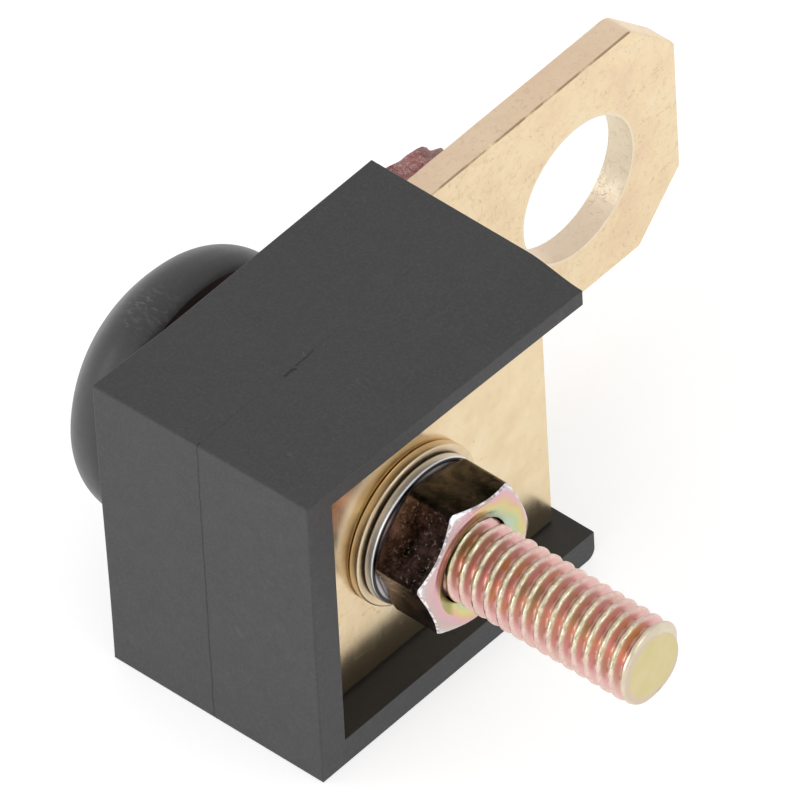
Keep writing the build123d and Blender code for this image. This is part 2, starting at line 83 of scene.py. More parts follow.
# ---------------------------------------------------------------- node materials
class Shader:
    """A Principled material with short calls for its nodes. Its coordinates are millimetres."""

    def __init__(self, name):
        self.material = bpy.data.materials.new(name)
        self.material.use_nodes = True
        self.tree = self.material.node_tree
        self.surface = self.tree.nodes["Principled BSDF"]
        coordinates = self.tree.nodes.new("ShaderNodeTexCoord")
        self.place = self.vector("MULTIPLY", coordinates.outputs["Object"], (1000, 1000, 1000))
        parts = self.node("ShaderNodeSeparateXYZ", [self.place])
        self.x, self.y, self.z = parts.outputs
        self.depth = self.math("SUBTRACT", housing_high.y / MM, self.y)
        facing = self.node("ShaderNodeSeparateXYZ", [coordinates.outputs["Normal"]])
        self.facing_x, self.facing_y, self.facing_z = facing.outputs

    def node(self, kind, inputs, **settings):
        made = self.tree.nodes.new(kind)
        for key, value in settings.items():
            setattr(made, key, value)
        pairs = inputs.items() if isinstance(inputs, dict) else enumerate(inputs)
        for key, value in pairs:
            if isinstance(value, bpy.types.NodeSocket):
                self.tree.links.new(value, made.inputs[key])
            else:
                made.inputs[key].default_value = value
        return made

    def math(self, operation, *values):
        return self.node("ShaderNodeMath", values, operation=operation).outputs[0]

    def vector(self, operation, *values):
        return self.node("ShaderNodeVectorMath", values, operation=operation).outputs[0]

    def noise(self, scale, detail=3.0, roughness=0.5, distortion=0.0, stretch=None, shift=0.0):
        """Noise of so many features a millimetre, from 0 to 1."""
        where = self.place
        if stretch is not None:
            where = self.vector("MULTIPLY", where, stretch)
        if shift:
            where = self.vector("ADD", where, (shift, shift, shift))
        sockets = {
            "Vector": where, "Scale": scale, "Detail": detail,
            "Roughness": roughness, "Distortion": distortion,
        }
        return self.node("ShaderNodeTexNoise", sockets).outputs["Fac"]

    def step(self, value, start, end):
        """0 before start and 1 after end, smoothly. Start may be the larger."""
        flip = start > end
        low, high = (end, start) if flip else (start, end)
        sockets = {"Value": value, "From Min": low, "From Max": high}
        ramp = self.node("ShaderNodeMapRange", sockets, interpolation_type="SMOOTHSTEP")
        return self.math("SUBTRACT", 1.0, ramp.outputs[0]) if flip else ramp.outputs[0]

    def mix(self, factor, first, second):
        made = self.node("ShaderNodeMix", {0: factor}, data_type="RGBA")
        for socket, colour in ((made.inputs[6], first), (made.inputs[7], second)):
            if isinstance(colour, bpy.types.NodeSocket):
                self.tree.links.new(colour, socket)
            else:
                socket.default_value = (*colour, 1.0)
        return made.outputs[2]

    def ramp(self, factor, stops):
        made = self.node("ShaderNodeValToRGB", [factor])
        elements = made.color_ramp.elements
        while len(elements) < len(stops):
            elements.new(0.5)
        for element, (position, colour) in zip(elements, stops):
            element.position = position
            element.color = (*colour, 1.0)
        return made.outputs[0]

    def scratches(self, scale, width, share, shift=0.0, stretch=None):
        """Short crooked lines: where one noise crosses its middle and another is high."""
        line = self.math("ABSOLUTE", self.math(
            "SUBTRACT", self.noise(scale, 2.0, 0.5, 0.6, stretch, shift), 0.5))
        broken = self.noise(scale * 1.7, 1.0, 0.5, 0.0, None, shift + 7.3)
        return self.math("MULTIPLY", self.step(line, width, 0.0),
                         self.step(broken, 1 - share, 1.05 - share))

    def radius_at(self, centre_x, centre_z):
        """Distance from a line along Y, in millimetres."""
        across = self.math("SUBTRACT", self.x, centre_x)
        up = self.math("SUBTRACT", self.z, centre_z)
        square = self.math("ADD", self.math("MULTIPLY", across, across),
                           self.math("MULTIPLY", up, up))
        return self.math("SQRT", square)

    def radius(self):
        """Distance from the common axis, in millimetres."""
        return self.radius_at(AXIS_X / MM, AXIS_Z / MM)

    def near(self, point, reach):
        """1 at a point given in millimetres, 0 from a reach away."""
        apart = self.vector("SUBTRACT", self.place, point)
        length = self.node("ShaderNodeVectorMath", [apart], operation="LENGTH").outputs["Value"]
        return self.step(length, reach, 0.0)

    def bump(self, height, strength, distance):
        made = self.node("ShaderNodeBump", {
            "Height": height, "Strength": strength, "Distance": distance * MM})
        if self.surface.inputs["Normal"].is_linked:
            self.tree.links.new(self.surface.inputs["Normal"].links[0].from_socket,
                                made.inputs["Normal"])
        self.tree.links.new(made.outputs[0], self.surface.inputs["Normal"])

    def finish(self, colour, roughness, metallic=0.0, specular=0.5):
        self.tree.links.new(colour, self.surface.inputs["Base Color"])
        self.tree.links.new(roughness, self.surface.inputs["Roughness"])
        self.surface.inputs["Metallic"].default_value = metallic
        self.surface.inputs["Specular IOR Level"].default_value = specular
        return self.material


def line_mask(shader, start, end, width):
    """1 on a segment of the X-depth plane given in millimetres, 0 from a width away."""
    run = (end[0] - start[0], end[1] - start[1])
    length = math.hypot(*run)
    across_x = shader.math("SUBTRACT", shader.x, start[0])
    across_y = shader.math("SUBTRACT", shader.depth, start[1])
    along = shader.math("ADD", shader.math("MULTIPLY", across_x, run[0] / length),
                        shader.math("MULTIPLY", across_y, run[1] / length))
    side = shader.math("SUBTRACT", shader.math("MULTIPLY", across_x, run[1] / length),
                       shader.math("MULTIPLY", across_y, run[0] / length))
    wander = shader.math("MULTIPLY", shader.math("SUBTRACT", shader.noise(1.5, shift=3.0), 0.5),
                         0.4)
    side = shader.math("ABSOLUTE", shader.math("ADD", side, wander))
    inside = shader.math("MULTIPLY", shader.step(along, 0.0, 0.3),
                         shader.step(along, length, length - 0.3))
    return shader.math("MULTIPLY", inside, shader.step(side, width, width * 0.3))


# the mould's parting line, and the short nicks beside it on the roof
PARTING_DEPTH = 11.55
PARTING_HALF_WIDTH = 0.12
NICKS = (
    ((-23.6, 11.75), (-22.0, 11.85), 0.2),
    ((-22.6, 11.45), (-22.0, 12.15), 0.16),
    ((-22.0, 11.75), (-19.4, 11.65), 0.12),
)


def black_moulding(name, dark, light, gloss):
    """Black plastic: mottled, finely grained, with light specks and faint hairline scratches."""
    shader = Shader(name)
    colour = shader.mix(shader.noise(0.35, 5.0, 0.65), dark, light)
    specks = shader.step(shader.noise(2.6, 2.0, 0.6, shift=4.0), 0.735, 0.78)
    colour = shader.mix(shader.math("MULTIPLY", specks, 0.3), colour, (0.16, 0.16, 0.165))
    hairs = shader.scratches(0.22, 0.0035, 0.42, shift=11.0)
    colour = shader.mix(shader.math("MULTIPLY", hairs, 0.3), colour, (0.13, 0.13, 0.135))
    grain = shader.noise(3.6, 4.0, 0.75)
    colour = shader.mix(shader.step(grain, 0.4, 0.75), colour, [1.35 * c for c in light])
    shader.bump(grain, 0.22, 0.06)
    shader.bump(hairs, 0.1, -0.03)
    roughness = shader.math("ADD", gloss, shader.math("MULTIPLY", shader.noise(0.8, 4.0), 0.14))
    return shader, colour, roughness


def housing_material():
    """Black moulding with a parting line and nicks.

    The lower lip's top is painted darker, as a stand-in for shade in the photo.
    """
    shader, colour, roughness = black_moulding("black_housing", (0.023, 0.023, 0.0235),
                                               (0.033, 0.033, 0.034), 0.5)
    wander = shader.math("MULTIPLY", shader.math("SUBTRACT", shader.noise(0.5, 4.0, 0.7), 0.5),
                         0.35)
    apart = shader.math("ABSOLUTE", shader.math("ADD",
                                                shader.math("SUBTRACT", shader.depth,
                                                            PARTING_DEPTH), wander))
    line = shader.step(apart, PARTING_HALF_WIDTH, PARTING_HALF_WIDTH * 0.4)
    on_side = shader.step(shader.x, housing_low.x / MM + 0.5, housing_low.x / MM + 0.3)
    on_roof = shader.math("MULTIPLY", shader.step(shader.z, housing_high.z / MM - 1.2,
                                                  housing_high.z / MM - 1.0),
                          shader.step(shader.noise(0.3, shift=2.0), 0.5, 0.62))
    shown = shader.math("MAXIMUM", on_side, shader.math("MULTIPLY", on_roof, 0.25))
    colour = shader.mix(shader.math("MULTIPLY", line, shown), colour, (0.006, 0.006, 0.006))
    for start, end, width in NICKS:
        nick = shader.math("MULTIPLY", line_mask(shader, start, end, width),
                           shader.step(shader.z, housing_high.z / MM - 0.6,
                                       housing_high.z / MM - 0.5))
        colour = shader.mix(nick, colour, (0.005, 0.005, 0.005))
    lip_top = shader.math("MULTIPLY", shader.step(shader.facing_z, 0.7, 0.9),
                          shader.step(shader.z, 4.2, 3.8))
    colour = shader.mix(shader.math("MULTIPLY", lip_top, 0.7), colour, (0.008, 0.008, 0.008))
    return shader.finish(colour, roughness)


def knob_material():
    shader, colour, roughness = black_moulding("black_knob", (0.014, 0.014, 0.0145),
                                               (0.02, 0.02, 0.021), 0.42)
    scuff = shader.math("MULTIPLY", shader.near((-21.5, 23.35, 28.0), 4.0),
                        shader.step(shader.noise(3.0, 3.0, 0.6, 0.4, (1.0, 0.35, 0.5)), 0.48, 0.72))
    colour = shader.mix(shader.math("MULTIPLY", scuff, 0.5), colour, (0.2, 0.2, 0.2))
    roughness = shader.math("ADD", roughness, shader.math("MULTIPLY", scuff, 0.2))
    shader.surface.inputs["Coat Weight"].default_value = 0.3
    shader.surface.inputs["Coat Roughness"].default_value = 0.3
    return shader.finish(colour, roughness)


def blade_material():
    """Satin brass: pale, pinker in places, with fine short scratches and pits.

    The top edge's pink is a painted reflection, and the dark line along its front is painted shade.
    """
    shader = Shader("blade_brass")
    cloud = shader.noise(0.16, 4.0, 0.6)
    colour = shader.ramp(cloud, ((0.3, (0.79, 0.60, 0.41)), (0.5, (0.84, 0.67, 0.44)),
                                 (0.72, (0.86, 0.72, 0.50))))
    fine = shader.noise(1.1, 5.0, 0.7, shift=5.0)
    colour = shader.mix(shader.math("MULTIPLY", shader.step(fine, 0.5, 0.68), 0.35), colour,
                        (0.70, 0.52, 0.35))
    marks = shader.scratches(0.8, 0.012, 0.5, stretch=(0.5, 1.0, 1.6))
    more = shader.scratches(0.8, 0.01, 0.5, shift=21.0, stretch=(1.7, 1.0, 0.5))
    dark = shader.math("MAXIMUM", marks, more)
    colour = shader.mix(shader.math("MULTIPLY", dark, 0.4), colour, (0.46, 0.31, 0.20))
    wall = shader.step(shader.radius_at(HOLE_X, HOLE_Z), HOLE_R + 0.35, HOLE_R + 0.15)
    inside = shader.mix(shader.noise(0.5, 3.0, 0.6, shift=14.0), (0.78, 0.66, 0.49),
                        (0.86, 0.76, 0.58))
    colour = shader.mix(wall, colour, inside)
    # Pinker on the top edge: a painted reflection.
    upward = shader.step(shader.facing_z, 0.6, 0.9)
    colour = shader.mix(shader.math("MULTIPLY", upward, 0.45), colour, (0.86, 0.64, 0.50))
    top = blade_high.z / MM
    front = blade_low.y / MM
    # Dark line along the top front edge: painted shade.
    rolled_edge_shade = shader.math("MULTIPLY", shader.step(shader.z, top - 0.34, top - 0.2),
                       shader.step(shader.y, front + 0.2, front + 0.06))
    broken = shader.step(shader.noise(0.3, 3.0, 0.6, shift=9.0), 0.28, 0.5)
    colour = shader.mix(shader.math("MULTIPLY", rolled_edge_shade, shader.math("MULTIPLY", broken, 0.8)), colour,
                        (0.24, 0.14, 0.08))
    pits = shader.step(shader.noise(2.4, 2.0, 0.5, shift=31.0), 0.7, 0.78)
    shader.bump(fine, 0.3, 0.1)
    shader.bump(dark, 0.5, -0.07)
    shader.bump(pits, 0.45, -0.08)
    roughness = shader.math("ADD", 0.34, shader.math("MULTIPLY", fine, 0.16))
    return shader.finish(colour, roughness, metallic=1.0)


def plate_material():
    """Bright rolled brass: upright grain and a few scratches.

    The orange patch is painted. It stands in for a reflection that the photo shows there.
    """
    shader = Shader("plate_brass")
    cloud = shader.noise(0.2, 3.0, 0.6, shift=2.0)
    colour = shader.ramp(cloud, ((0.3, (0.74, 0.56, 0.35)), (0.55, (0.80, 0.65, 0.42)),
                                 (0.75, (0.84, 0.70, 0.48))))
    glow = shader.near((plate_low.x / MM + 0.6, plate_low.y / MM, plate_high.z / MM - 4.2), 5.0)
    colour = shader.mix(shader.math("MULTIPLY", glow, 0.95), colour, (0.58, 0.17, 0.06))
    grain = shader.noise(2.6, 3.0, 0.6, 0.0, (1.0, 1.0, 0.08))
    marks = shader.scratches(0.5, 0.006, 0.5, shift=13.0)
    colour = shader.mix(shader.math("MULTIPLY", marks, 0.4), colour, (0.45, 0.32, 0.18))
    shader.bump(grain, 0.07, 0.04)
    shader.bump(marks, 0.2, -0.03)
    roughness = shader.math("ADD", 0.16, shader.math("MULTIPLY", grain, 0.12))
    return shader.finish(colour, roughness, metallic=1.0)


def fibre_material():
    """Vulcanised fibre: brick red, matted with dark and whitish strands."""
    shader = Shader("red_fibre")
    colour = shader.mix(shader.step(shader.noise(0.7, 5.0, 0.7), 0.35, 0.65), (0.23, 0.08, 0.075),
                        (0.42, 0.18, 0.165))
    strands = shader.scratches(1.6, 0.05, 0.6, shift=3.0, stretch=(1.0, 1.0, 0.6))
    colour = shader.mix(shader.math("MULTIPLY", strands, 0.65), colour, (0.62, 0.46, 0.43))
    dark = shader.step(shader.noise(2.0, 3.0, 0.6, shift=8.0), 0.54, 0.7)
    colour = shader.mix(shader.math("MULTIPLY", dark, 0.6), colour, (0.07, 0.022, 0.022))
    torn = shader.step(shader.x, housing_high.x / MM + 4.4, housing_high.x / MM + 6.0)
    colour = shader.mix(shader.math("MULTIPLY", torn, 0.4), colour, (0.38, 0.28, 0.28))
    shader.bump(shader.noise(1.8, 6.0, 0.75), 0.8, 0.3)
    roughness = shader.math("ADD", 0.7, shader.math("MULTIPLY", strands, 0.2))
    return shader.finish(colour, roughness, specular=0.3)


def nut_material():
    """Yellow-zinc nut: rainbow-tinted face, silver edges that are a painted highlight, and speckled
    flats whose dark tone is a painted reflection.

    The olive band in its mouth, the dark upper flats and the dark rear cone are painted
    stand-ins for reflections and shade in the photo.
    """
    shader = Shader("nut_zinc")
    aside = shader.math("SUBTRACT", shader.x, AXIS_X / MM)
    above = shader.math("SUBTRACT", shader.z, AXIS_Z / MM)
    drift = shader.math("SUBTRACT", shader.noise(0.35, 3.0, shift=17.0), 0.5)
    radius = shader.radius()
    outward = shader.math("DIVIDE", shader.math("SUBTRACT", radius, 4.2), 3.0)
    leftward = shader.math("MULTIPLY", shader.step(aside, 1.0, -5.0), 0.32)
    tint = shader.math("ADD", shader.math("ADD", outward, leftward),
                       shader.math("MULTIPLY", drift, 0.7))
    face = shader.ramp(tint, (
        (0.05, (0.50, 0.60, 0.48)),
        (0.25, (0.52, 0.58, 0.32)),
        (0.42, (0.66, 0.56, 0.24)),
        (0.58, (0.68, 0.46, 0.30)),
        (0.75, (0.68, 0.40, 0.46)),
        (0.95, (0.60, 0.44, 0.42)),
    ))
    upper_left = shader.step(shader.math("SUBTRACT", above, shader.math("MULTIPLY", aside, 1.6)),
                             1.5, 3.5)
    cone = shader.math("MULTIPLY", upper_left, shader.step(radius, 5.2, 5.05))
    olive = shader.mix(shader.noise(1.2, 3.0), (0.24, 0.22, 0.06), (0.50, 0.46, 0.15))
    face = shader.mix(cone, face, olive)
    # The flats' dark, blotchy tone is a painted reflection. The specks and streaks are real marks.
    blotch = shader.noise(0.45, 4.0, 0.65, shift=6.0)
    flats = shader.ramp(blotch, ((0.36, (0.05, 0.035, 0.03)), (0.5, (0.2, 0.12, 0.10)),
                                 (0.64, (0.46, 0.28, 0.24))))
    speck = shader.step(shader.noise(2.6, 3.0, 0.6, shift=1.0), 0.6, 0.68)
    flats = shader.mix(shader.math("MULTIPLY", speck, 0.6), flats, (0.66, 0.58, 0.50))
    streaks = shader.scratches(1.6, 0.03, 0.62, shift=2.0)
    flats = shader.mix(shader.math("MULTIPLY", streaks, 0.6), flats, (0.62, 0.44, 0.36))
    top = shader.mix(shader.step(blotch, 0.35, 0.65), (0.04, 0.036, 0.024), (0.17, 0.13, 0.09))
    flats = shader.mix(shader.step(shader.facing_z, 0.75, 0.9), flats, top)
    forward = shader.math("ABSOLUTE", shader.facing_y)
    # Near-white strip where the flats meet the chamfers: a painted highlight.
    worn = shader.mix(shader.step(shader.noise(2.0, 3.0), 0.4, 0.6), (0.50, 0.42, 0.44),
                      (0.92, 0.88, 0.90))
    colour = shader.mix(shader.step(forward, 0.1, 0.3), flats, worn)
    # Silver on the chamfers near the hex corners: a painted highlight.
    corner = shader.step(shader.math("ADD", radius, shader.math("MULTIPLY", drift, 0.5)), 6.5, 6.8)
    silver = shader.mix(shader.noise(2.5, 3.0), (0.34, 0.33, 0.34), (0.80, 0.79, 0.80))
    face = shader.mix(shader.math("MULTIPLY", corner, 0.8), face, silver)
    colour = shader.mix(shader.step(forward, 0.76, 0.83), colour, face)
    behind = shader.step(shader.y, (nut_low.y + nut_high.y) / 2 / MM, nut_high.y / MM - 1.0)
    shadowed = shader.math("MULTIPLY", behind, shader.step(forward, 0.1, 0.3))
    colour = shader.mix(shadowed, colour, (0.16, 0.08, 0.07))
    shader.bump(shader.noise(1.6, 4.0, 0.6), 0.12, 0.06)
    shader.bump(speck, 0.2, 0.04)
    roughness = shader.math("ADD", 0.14, shader.math("MULTIPLY", blotch, 0.16))
    return shader.finish(colour, roughness, metallic=1.0)


# Across the stud as the photo's camera sees it, as shares of X and Z
SIDE_X = 0.81
SIDE_Z = 0.59


def stud_material():
    """Yellow-zinc stud: pale bright crests, rose flanks, and a green-gold end.

    The pinker sides are a painted stand-in for reflections. They are fixed to the object,
    but SIDE_X and SIDE_Z were chosen for the photo's camera, which sees them as the sides.
    """
    shader = Shader("stud_zinc")
    radius = shader.radius()
    flank = shader.ramp(shader.noise(0.22, 2.0, 0.5, 0.4, None, 5.0), (
        (0.3, (0.46, 0.40, 0.22)),
        (0.44, (0.70, 0.42, 0.34)),
        (0.56, (0.74, 0.42, 0.40)),
        (0.7, (0.72, 0.42, 0.20)),
    ))
    worn = shader.step(shader.noise(1.8, 4.0, 0.7, stretch=(1.0, 3.0, 1.0)), 0.35, 0.65)
    crest = shader.mix(worn, (0.52, 0.46, 0.30), (0.84, 0.79, 0.62))
    # Darker near the thread's root: painted shade.
    flank = shader.mix(shader.step(radius, 3.35, 3.12), flank, (0.50, 0.28, 0.22))
    colour = shader.mix(shader.step(radius, 3.58, 3.82), flank, crest)
    aside = shader.math("MULTIPLY", shader.math("SUBTRACT", shader.x, AXIS_X / MM), SIDE_X)
    above = shader.math("MULTIPLY", shader.math("SUBTRACT", shader.z, AXIS_Z / MM), SIDE_Z)
    flank_side = shader.step(shader.math("ABSOLUTE", shader.math("ADD", aside, above)), 1.6, 3.2)
    colour = shader.mix(shader.math("MULTIPLY", flank_side, 0.6), colour, (0.76, 0.46, 0.46))
    end_y = stud_low.y / MM
    tip = shader.step(shader.y, end_y + 0.6, end_y + 0.5)
    pale = shader.mix(shader.noise(1.0, 3.0), (0.56, 0.48, 0.34), (0.78, 0.70, 0.56))
    colour = shader.mix(tip, colour, pale)
    face = shader.math("MULTIPLY", shader.step(shader.facing_y, -0.85, -0.97),
                       shader.step(shader.y, end_y + 0.5, end_y + 0.3))
    green = shader.mix(shader.noise(0.5, 4.0, 0.6, shift=8.0), (0.55, 0.50, 0.20),
                       (0.70, 0.58, 0.36))
    green = shader.mix(shader.step(radius, 2.7, 3.5), green, (0.62, 0.50, 0.40))
    colour = shader.mix(face, colour, green)
    wear = shader.noise(2.2, 4.0, 0.7, shift=12.0)
    shader.bump(wear, 0.25, 0.06)
    roughness = shader.math("ADD", 0.24, shader.math("MULTIPLY", wear, 0.2))
    return shader.finish(colour, roughness, metallic=1.0)


def turned_metal(name, dark, light, gloss, rings=0.0, grain=1.2):
    """Plated or machined metal: drifting tone, fine wear, and turning rings if any."""
    shader = Shader(name)
    wear = shader.noise(grain, 4.0, 0.65)
    colour = shader.mix(shader.noise(0.4, 3.0, 0.6, shift=9.0), dark, light)
    marks = shader.scratches(grain * 0.6, 0.01, 0.5, shift=4.0)
    colour = shader.mix(shader.math("MULTIPLY", marks, 0.4), colour, [0.55 * c for c in dark])
    shader.bump(wear, 0.12, 0.05)
    if rings:
        wave = shader.math("SINE", shader.math("MULTIPLY", shader.radius(), rings * 2 * math.pi))
        shader.bump(wave, 0.12, 0.03)
    roughness = shader.math("ADD", gloss, shader.math("MULTIPLY", wear, 0.2))
    return shader.finish(colour, roughness, metallic=1.0)


def spring_material():
    """Bright spring steel, with painted shade along both edges of its rim."""
    shader = Shader("spring_steel")
    low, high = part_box("spring_washer")
    edge = shader.math("MAXIMUM", shader.step(shader.y, high.y / MM - 0.34, high.y / MM - 0.2),
                       shader.step(shader.y, low.y / MM + 0.14, low.y / MM + 0.06))
    streak = shader.noise(1.5, 3.0, 0.6, 0.0, (1.0, 6.0, 1.0))
    colour = shader.mix(streak, (0.80, 0.80, 0.81), (0.96, 0.96, 0.97))
    on_rim = shader.step(shader.radius(), 6.6, 6.8)
    # Dark lines along both edges of the rim: painted shade.
    colour = shader.mix(shader.math("MULTIPLY", edge, on_rim), colour, (0.05, 0.045, 0.045))
    shader.bump(streak, 0.1, 0.04)
    roughness = shader.math("ADD", 0.34, shader.math("MULTIPLY", streak, 0.14))
    return shader.finish(colour, roughness, metallic=1.0)


def rubber_material():
    shader = Shader("black_rubber")
    grain = shader.noise(3.0, 4.0, 0.6)
    colour = shader.mix(grain, (0.012, 0.012, 0.012), (0.03, 0.03, 0.03))
    shader.bump(grain, 0.2, 0.05)
    return shader.finish(colour, shader.math("ADD", 0.7, shader.math("MULTIPLY", grain, 0.2)),
                         specular=0.3)


materials = {
    "black_housing": housing_material(),
    "black_knob": knob_material(),
    "blade_brass": blade_material(),
    "plate_brass": plate_material(),
    "red_fibre": fibre_material(),
    "nut": nut_material(),
    "stud": stud_material(),
    "spring_washer": spring_material(),
    "spring_steel": turned_metal("clip_steel", (0.42, 0.42, 0.44), (0.60, 0.60, 0.62), 0.25),
    "washer_zinc": turned_metal("washer_zinc", (0.62, 0.46, 0.28), (0.80, 0.66, 0.46), 0.22,
                                rings=1.5),
    "machined_brass": turned_metal("machined_brass", (0.66, 0.48, 0.22), (0.80, 0.63, 0.34), 0.24,
                                   rings=2.5),
    "contact_silver": turned_metal("contact_silver", (0.62, 0.61, 0.58), (0.80, 0.79, 0.76), 0.3,
                                   rings=2.0),
    "black_rubber": rubber_material(),
    "screw_steel": turned_metal("screw_steel", (0.46, 0.46, 0.47), (0.66, 0.66, 0.67), 0.28),
}


# ---------------------------------------------------------------- mesh helpers
def copy_of(node):
    """A clean editable copy of a CAD node's shape: welded, with its flats merged."""
    source = frame["nodes"][node].data
    made = bmesh.new()
    corners = [made.verts.new(vertex.co) for vertex in source.vertices]
    for face in source.polygons:
        try:
            made.faces.new([corners[index] for index in face.vertices])
        except ValueError:
            continue
    bmesh.ops.remove_doubles(made, verts=made.verts, dist=2e-6)
    bmesh.ops.dissolve_limit(made, angle_limit=math.radians(0.6), verts=made.verts,
                             edges=made.edges)
    return made


def slice_mesh(made, axis, places):
    """Cuts across a mesh, so that it can bend there."""
    normal = Vector((0, 0, 0))
    normal[axis] = 1.0
    for place in places:
        point = Vector((0, 0, 0))
        point[axis] = place
        whole = made.verts[:] + made.edges[:] + made.faces[:]
        bmesh.ops.bisect_plane(made, geom=whole, dist=1e-6, plane_co=point, plane_no=normal)


def spaced(low, high, count):
    return [low + (high - low) * step / count for step in range(1, count)]


def put(name, made, material, body, nodes, sharp=32.0):
    """Turns a bmesh into a piece that rides on a body and stands for CAD nodes."""
    bmesh.ops.recalc_face_normals(made, faces=made.faces)
    for face in made.faces:
        face.smooth = True
    for edge in made.edges:
        edge.smooth = len(edge.link_faces) == 2 and edge.calc_face_angle() < math.radians(sharp)
    mesh = bpy.data.meshes.new(name)
    made.to_mesh(mesh)
    made.free()
    mesh.materials.append(material)
    piece = bpy.data.objects.new(name, mesh)
    bpy.context.scene.collection.objects.link(piece)
    weighted = piece.modifiers.new("weighted", "WEIGHTED_NORMAL")
    weighted.keep_sharp = True
    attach(piece, body)
    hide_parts(*nodes)
    return piece


def ring_of(made, points):
    return [made.verts.new(point) for point in points]


def bridge(made, first, second):
    """Faces between two rings of equal length."""
    count = len(first)
    for index in range(count):
        after = (index + 1) % count
        made.faces.new((first[index], first[after], second[after], second[index]))


def on_axis(radius, angle, y):
    return Vector((AXIS_X + radius * math.cos(angle), y, AXIS_Z + radius * math.sin(angle)))


def smooth_step(value):
    value = min(1.0, max(0.0, value))
    return value * value * (3 - 2 * value)


# ---------------------------------------------------------------- housing
RIM_ROUND = 0.1 * MM
CORNER_FLARE = 0.28 * MM
ROOF_BAND = 2.4 * MM
FLARE_REACH_X = 10 * MM
FLARE_REACH_Y = 12 * MM
BACK_RIM = 1 * MM


def make_housing():
    """The moulding, with soft rims and a roof that droops over the open front corner.

    Its upper corner at the closed side and back flares out, past the CAD box in -X.
    """
    made = copy_of("housing")
    rims = []
    for edge in made.edges:
        if len(edge.link_faces) != 2 or edge.calc_face_angle() < math.radians(50):
            continue
        ends = [vertex.co for vertex in edge.verts]
        at_front = all(abs(co.y - housing_low.y) < 1e-5 for co in ends)
        at_back = all(abs(co.y - housing_high.y) < 1e-5 for co in ends)
        at_open = all(abs(co.x - housing_high.x) < 1e-5 for co in ends)
        if at_front or at_back or at_open:
            rims.append(edge)
    bmesh.ops.bevel(made, geom=rims, offset=RIM_ROUND, segments=2, profile=0.5, affect="EDGES",
                    clamp_overlap=True)
    slice_mesh(made, 1, spaced(housing_low.y, plate_high.y, 10))
    slice_mesh(made, 0, spaced(housing_low.x, housing_high.x, 12))
    slice_mesh(made, 2, spaced(housing_low.z, housing_high.z, 8))
    flap = plate_high.y - housing_low.y
    roof_z = housing_high.z - ROOF_BAND
    for vertex in made.verts:
        co = vertex.co
        if co.z < roof_z or co.y > plate_high.y:
            continue
        forward = smooth_step((plate_high.y - co.y) / flap)
        outward = ((co.x - housing_low.x) / (housing_high.x - housing_low.x)) ** 1.6
        co.z -= ROOF_SAG * forward * outward
    for vertex in made.verts:
        co = vertex.co
        rise = smooth_step(co.z / housing_high.z)
        aside = smooth_step(1 - (co.x - housing_low.x) / FLARE_REACH_X)
        rear = smooth_step(1 - (housing_high.y - co.y) / FLARE_REACH_Y)
        co.x -= CORNER_FLARE * rise * aside * rear
        if co.y > housing_high.y - BACK_RIM:
            co.y += CORNER_FLARE * rise * aside * rear
    return put("housing_moulding", made, materials["black_housing"], "body", ["housing"])


# ---------------------------------------------------------------- blade and fibre
BLADE_EDGE_ROUND = 0.14 * MM
BLADE_CORNER_ROUND = 0.7 * MM
BLADE_CORNER_REACH = 6.5 * MM
CREASE = math.radians(30)


def make_blade():
    """The blade: rounded end corners, and rolled edges that wander as a sheared edge does."""
    made = copy_of("battery_blade")
    corners = []
    for edge in made.edges:
        first, last = (vertex.co for vertex in edge.verts)
        upright = abs(first.x - last.x) < 1e-5 and abs(first.z - last.z) < 1e-5
        near_end = min(first.x, last.x) > blade_high.x - BLADE_CORNER_REACH
        if upright and near_end and edge.calc_face_angle() > CREASE:
            corners.append(edge)
    bmesh.ops.bevel(made, geom=corners, offset=BLADE_CORNER_ROUND, segments=5, profile=0.5,
                    affect="EDGES", clamp_overlap=False)
    sharp = [e for e in made.edges if len(e.link_faces) == 2 and e.calc_face_angle() > CREASE]
    bmesh.ops.bevel(made, geom=sharp, offset=BLADE_EDGE_ROUND, segments=3, profile=0.5,
                    affect="EDGES", clamp_overlap=True)
    slice_mesh(made, 0, spaced(housing_high.x - 1 * MM, blade_high.x, 40))
    middle_z = (blade_low.z + blade_high.z) / 2
    half = (blade_high.z - blade_low.z) / 2
    for vertex in made.verts:
        co = vertex.co
        if co.x < housing_high.x:
            continue
        edge_share = smooth_step((abs(co.z - middle_z) / half - 0.8) / 0.2)
        wave = noise.noise(Vector((co.x * 260, 3.1, co.z * 20)))
        fine = noise.noise(Vector((co.x * 1500, 8.4, co.z * 60)))
        inward = 1 if co.z > middle_z else -1
        co.z -= (0.06 * abs(wave) + 0.03 * abs(fine)) * MM * edge_share * inward
    return put("blade_strip", made, materials["blade_brass"], "body", ["battery_blade"])


TEAR_DEPTH = 1.1 * MM
TEAR_SLANT = 3.0 * MM


